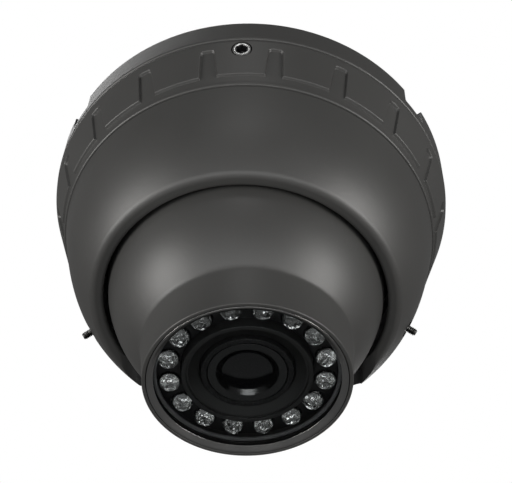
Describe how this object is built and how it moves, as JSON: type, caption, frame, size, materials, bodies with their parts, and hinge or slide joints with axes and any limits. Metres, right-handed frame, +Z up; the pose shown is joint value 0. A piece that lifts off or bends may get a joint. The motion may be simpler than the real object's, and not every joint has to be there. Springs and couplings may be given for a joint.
{
  "type": "dome cctv camera",
  "caption": "Round ceiling camera: a base, a ribbed grip ring and a rounded shell, with a ball inside that pans and tilts and a short barrel holding a lens inside a ring of infrared lamps.",
  "frame": {"origin": "the middle of the base's flat top face, which lies against the ceiling", "axes": "+Z up, out of the base and into the ceiling, along the axis that base, grip ring and shell are turned about; -Y towards the cover lock screw; +X to the right when looking from the cover lock screw's side"},
  "size_m": [0.0932, 0.0932, 0.0685],
  "materials": {
    "body_paint": "satin, very fine texture",
    "bright_steel": "bright, polished",
    "bracket_steel": "zinc plated",
    "black_plastic": "satin black",
    "black_rubber": "matt",
    "grey_rubber": "matt",
    "window_glass": "clear, polished",
    "lens_glass": "coated, very dark",
    "lamp_resin": "clear cast resin",
    "lens_metal": "black anodised",
    "board_green": "solder mask",
    "chip_black": "moulded package",
    "connector_white": "moulded"
  },
  "bodies": {
    "base": {"base_plate": "body_paint", "cable_bush": "black_rubber", "main_board": "board_green", "board_connector": "connector_white", "main_board_screw_1": "bright_steel", "main_board_screw_2": "bright_steel", "main_board_screw_3": "bright_steel", "dome_shell": "body_paint", "cover_seal": "black_rubber", "pan_retainer": "bracket_steel"},
    "grip_ring": {"grip_ring": "body_paint"},
    "cover_lock_screw": {"cover_lock_screw": "bright_steel"},
    "shell_screw_left": {"shell_screw_left": "bright_steel"},
    "shell_screw_right": {"shell_screw_right": "bright_steel"},
    "bracket": {"pan_bracket": "bracket_steel"},
    "ball": {"ball_housing": "body_paint", "tilt_screw_left": "bright_steel", "tilt_screw_right": "bright_steel", "ball_rear_cover": "black_plastic", "front_bezel": "black_plastic", "window": "window_glass", "window_gasket": "grey_rubber", "lamp_plate": "black_plastic", "lamp_board": "board_green", "infrared_lamp_1": "lamp_resin", "infrared_lamp_2": "lamp_resin", "infrared_lamp_3": "lamp_resin", "infrared_lamp_4": "lamp_resin", "infrared_lamp_5": "lamp_resin", "infrared_lamp_6": "lamp_resin", "infrared_lamp_7": "lamp_resin", "infrared_lamp_8": "lamp_resin", "infrared_lamp_9": "lamp_resin", "infrared_lamp_10": "lamp_resin", "infrared_lamp_11": "lamp_resin", "infrared_lamp_12": "lamp_resin", "infrared_lamp_13": "lamp_resin", "infrared_lamp_14": "lamp_resin", "infrared_lamp_15": "lamp_resin", "infrared_lamp_16": "lamp_resin", "lens_shroud": "black_plastic", "lens_lock_nut": "lens_metal", "lens_holder": "black_plastic", "sensor_board": "board_green", "image_sensor": "chip_black", "infrared_filter": "lens_glass", "lens_holder_screw_1": "bright_steel", "lens_holder_screw_2": "bright_steel", "sensor_board_screw_1": "bright_steel", "sensor_board_screw_2": "bright_steel", "sensor_board_screw_3": "bright_steel"},
    "lens": {"lens_barrel": "lens_metal", "lens_face_ring": "lens_metal", "lens_front_glass": "lens_glass", "lens_rear_glass": "lens_glass"}
  },
  "joints": [
    {"name": "grip_ring_turn", "type": "hinge", "parent": "base", "child": "grip_ring", "pos_m": [0, 0, -0.0083], "axis": [0, 0, 1], "range_deg": [0, 90]},
    {"name": "cover_lock_screw_turn", "type": "hinge", "parent": "grip_ring", "child": "cover_lock_screw", "pos_m": [0, -0.04574, -0.01115], "axis": [0, -0.9576, -0.288], "range_deg": [0, 720]},
    {"name": "shell_screw_left_turn", "type": "hinge", "parent": "base", "child": "shell_screw_left", "pos_m": [-0.03611, 0.01243, -0.0365], "axis": [-0.8425, 0.2901, -0.454], "range_deg": [0, 720]},
    {"name": "shell_screw_right_turn", "type": "hinge", "parent": "base", "child": "shell_screw_right", "pos_m": [0.03611, 0.01243, -0.0365], "axis": [0.8425, 0.2901, -0.454], "range_deg": [0, 720]},
    {"name": "pan", "type": "hinge", "parent": "base", "child": "bracket", "pos_m": [0, 0, -0.0307], "axis": [0, 0, 1], "range_deg": [-175, 175]},
    {"name": "tilt", "type": "hinge", "parent": "bracket", "child": "ball", "pos_m": [0, 0, -0.0363], "axis": [0.8406, -0.5417, 0], "range_deg": [-35.5, 27]},
    {"name": "lens_turn", "type": "hinge", "parent": "ball", "child": "lens", "pos_m": [0, 0, -0.0363], "axis": [0.0397, 0.0616, -0.9973], "range_deg": [-180, 180]}
  ]
}
